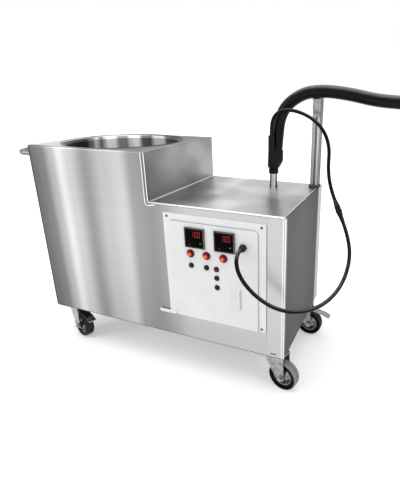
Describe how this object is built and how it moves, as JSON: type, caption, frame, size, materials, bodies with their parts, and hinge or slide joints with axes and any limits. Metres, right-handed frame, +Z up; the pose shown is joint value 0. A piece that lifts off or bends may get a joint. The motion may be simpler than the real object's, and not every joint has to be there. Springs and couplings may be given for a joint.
{
  "type": "paraffin wax dispenser",
  "caption": "Wheeled paraffin wax dispenser: stainless cart with a round heated wax pot, control plate, pump, riser, heated hose on a pole and four swivel casters.",
  "frame": {"origin": "floor level, under the middle of the cart's bounding box, hose and cables left out", "axes": "+X along the cart from the push handle to the hose end, +Y from the control plate to the back wall, +Z up"},
  "size_m": [2.0077, 0.5505, 0.9724],
  "materials": {
    "stainless_brushed": "fine brushed",
    "stainless_polished": "mirror polished",
    "steel_zinc": "bright zinc",
    "steel_mild": "painted grey",
    "powder_white": "satin white",
    "overlay_white": "satin white",
    "rubber_black": "satin",
    "hose_cover": "satin",
    "cable_jacket": "satin",
    "plastic_black": "matte",
    "plastic_grey": "matte",
    "plastic_white": "satin",
    "window_dark": "gloss",
    "lens_red": "gloss",
    "cap_green": "satin",
    "cap_red": "satin",
    "cap_black": "satin",
    "aluminium": "natural anodised",
    "brass": "machined",
    "fibre_wool": "foil-faced felt",
    "mica_band": "heat-tinted"
  },
  "bodies": {
    "cart": {"front_sheet": "stainless_brushed", "right_sheet": "stainless_brushed", "rear_wrap": "stainless_brushed", "deck_sheet": "stainless_brushed", "base_frame": "stainless_brushed", "bottom_pan": "stainless_brushed", "service_cover": "stainless_brushed", "pot": "stainless_polished", "heater_band": "mica_band", "pot_jacket": "fibre_wool", "suction_pipe": "stainless_polished", "pump": "steel_mild", "shaft_coupling": "aluminium", "pump_motor": "steel_mild", "pump_mount": "steel_zinc", "pressure_pipe": "stainless_polished", "riser_pipe": "stainless_polished", "hose_boot": "rubber_black", "heated_hose": "hose_cover", "hose_coil": "hose_cover", "hose_nozzle": "stainless_polished", "cable_glands": "plastic_black", "cable_lower": "cable_jacket", "cable_upper": "cable_jacket", "inline_connector": "plastic_black", "pole": "aluminium", "pole_grommet": "rubber_black", "hose_cradle": "steel_zinc", "cradle_bolts": "steel_zinc", "push_handle": "stainless_polished", "panel_plate": "powder_white", "panel_overlay": "overlay_white", "controllers": "plastic_grey", "controller_windows": "window_dark", "lamp_bezels": "brass", "lamp_lenses": "lens_red", "button_bezels": "plastic_black", "cover_plate": "plastic_white", "panel_screws": "steel_zinc", "caster_plates": "steel_zinc"},
    "caster_front_left": {"fork_front_left": "steel_zinc"},
    "wheel_front_left": {"tyre_front_left": "rubber_black", "wheel_hub_front_left": "steel_zinc"},
    "pedal_front_left": {"brake_pedal_front_left": "steel_zinc"},
    "caster_front_right": {"fork_front_right": "steel_zinc"},
    "wheel_front_right": {"tyre_front_right": "rubber_black", "wheel_hub_front_right": "steel_zinc"},
    "caster_back_right": {"fork_back_right": "steel_zinc"},
    "wheel_back_right": {"tyre_back_right": "rubber_black", "wheel_hub_back_right": "steel_zinc"},
    "pedal_back_right": {"brake_pedal_back_right": "steel_zinc"},
    "caster_back_left": {"fork_back_left": "steel_zinc"},
    "wheel_back_left": {"tyre_back_left": "rubber_black", "wheel_hub_back_left": "steel_zinc"},
    "button_black": {"button_black": "cap_black"},
    "button_green": {"button_green": "cap_green"},
    "button_red": {"button_red": "cap_red"},
    "fuse_cap_upper": {"fuse_cap_upper": "cap_black"},
    "fuse_cap_lower": {"fuse_cap_lower": "cap_black"},
    "latch": {"panel_latch": "steel_zinc"}
  },
  "joints": [
    {"name": "swivel_front_left", "type": "hinge", "parent": "cart", "child": "caster_front_left", "pos_m": [-0.41488, -0.1655, 0.135], "axis": [0, 0, 1], "continuous": true},
    {"name": "roll_front_left", "type": "hinge", "parent": "caster_front_left", "child": "wheel_front_left", "pos_m": [-0.38387, -0.17679, 0.051], "axis": [0.342, 0.9397, 0], "continuous": true},
    {"name": "brake_front_left", "type": "hinge", "parent": "caster_front_left", "child": "pedal_front_left", "pos_m": [-0.39139, -0.17405, 0.112], "axis": [0.342, 0.9397, 0], "range_deg": [0, 14]},
    {"name": "swivel_front_right", "type": "hinge", "parent": "cart", "child": "caster_front_right", "pos_m": [0.44512, -0.1655, 0.135], "axis": [0, 0, 1], "continuous": true},
    {"name": "roll_front_right", "type": "hinge", "parent": "caster_front_right", "child": "wheel_front_right", "pos_m": [0.4774, -0.17236, 0.051], "axis": [0.2079, 0.9781, 0], "continuous": true},
    {"name": "swivel_back_right", "type": "hinge", "parent": "cart", "child": "caster_back_right", "pos_m": [0.44512, 0.1695, 0.135], "axis": [0, 0, 1], "continuous": true},
    {"name": "roll_back_right", "type": "hinge", "parent": "caster_back_right", "child": "wheel_back_right", "pos_m": [0.47804, 0.1672, 0.051], "axis": [0.0698, 0.9976, 0], "continuous": true},
    {"name": "brake_back_right", "type": "hinge", "parent": "caster_back_right", "child": "pedal_back_right", "pos_m": [0.47006, 0.16776, 0.112], "axis": [0.0698, 0.9976, 0], "range_deg": [0, 14]},
    {"name": "swivel_back_left", "type": "hinge", "parent": "cart", "child": "caster_back_left", "pos_m": [-0.34188, 0.1065, 0.135], "axis": [0, 0, 1], "continuous": true},
    {"name": "roll_back_left", "type": "hinge", "parent": "caster_back_left", "child": "wheel_back_left", "pos_m": [-0.30986, 0.11448, 0.051], "axis": [-0.2419, 0.9703, 0], "continuous": true},
    {"name": "press_button_black", "type": "slide", "parent": "cart", "child": "button_black", "axis": [0, 1, 0], "range_m": [0, 0.0025], "stiffness_N_per_m": 400},
    {"name": "press_button_green", "type": "slide", "parent": "cart", "child": "button_green", "axis": [0, 1, 0], "range_m": [0, 0.0025], "stiffness_N_per_m": 400},
    {"name": "press_button_red", "type": "slide", "parent": "cart", "child": "button_red", "axis": [0, 1, 0], "range_m": [0, 0.0025], "stiffness_N_per_m": 400},
    {"name": "turn_fuse_cap_upper", "type": "hinge", "parent": "cart", "child": "fuse_cap_upper", "pos_m": [0.26613, -0.2265, 0.395], "axis": [0, 1, 0], "range_deg": [-45, 0]},
    {"name": "turn_fuse_cap_lower", "type": "hinge", "parent": "cart", "child": "fuse_cap_lower", "pos_m": [0.26613, -0.2265, 0.362], "axis": [0, 1, 0], "range_deg": [-45, 0]},
    {"name": "latch_turn", "type": "hinge", "parent": "cart", "child": "latch", "pos_m": [0.09662, -0.2245, 0.236], "axis": [0, 1, 0], "range_deg": [-90, 90]}
  ]
}
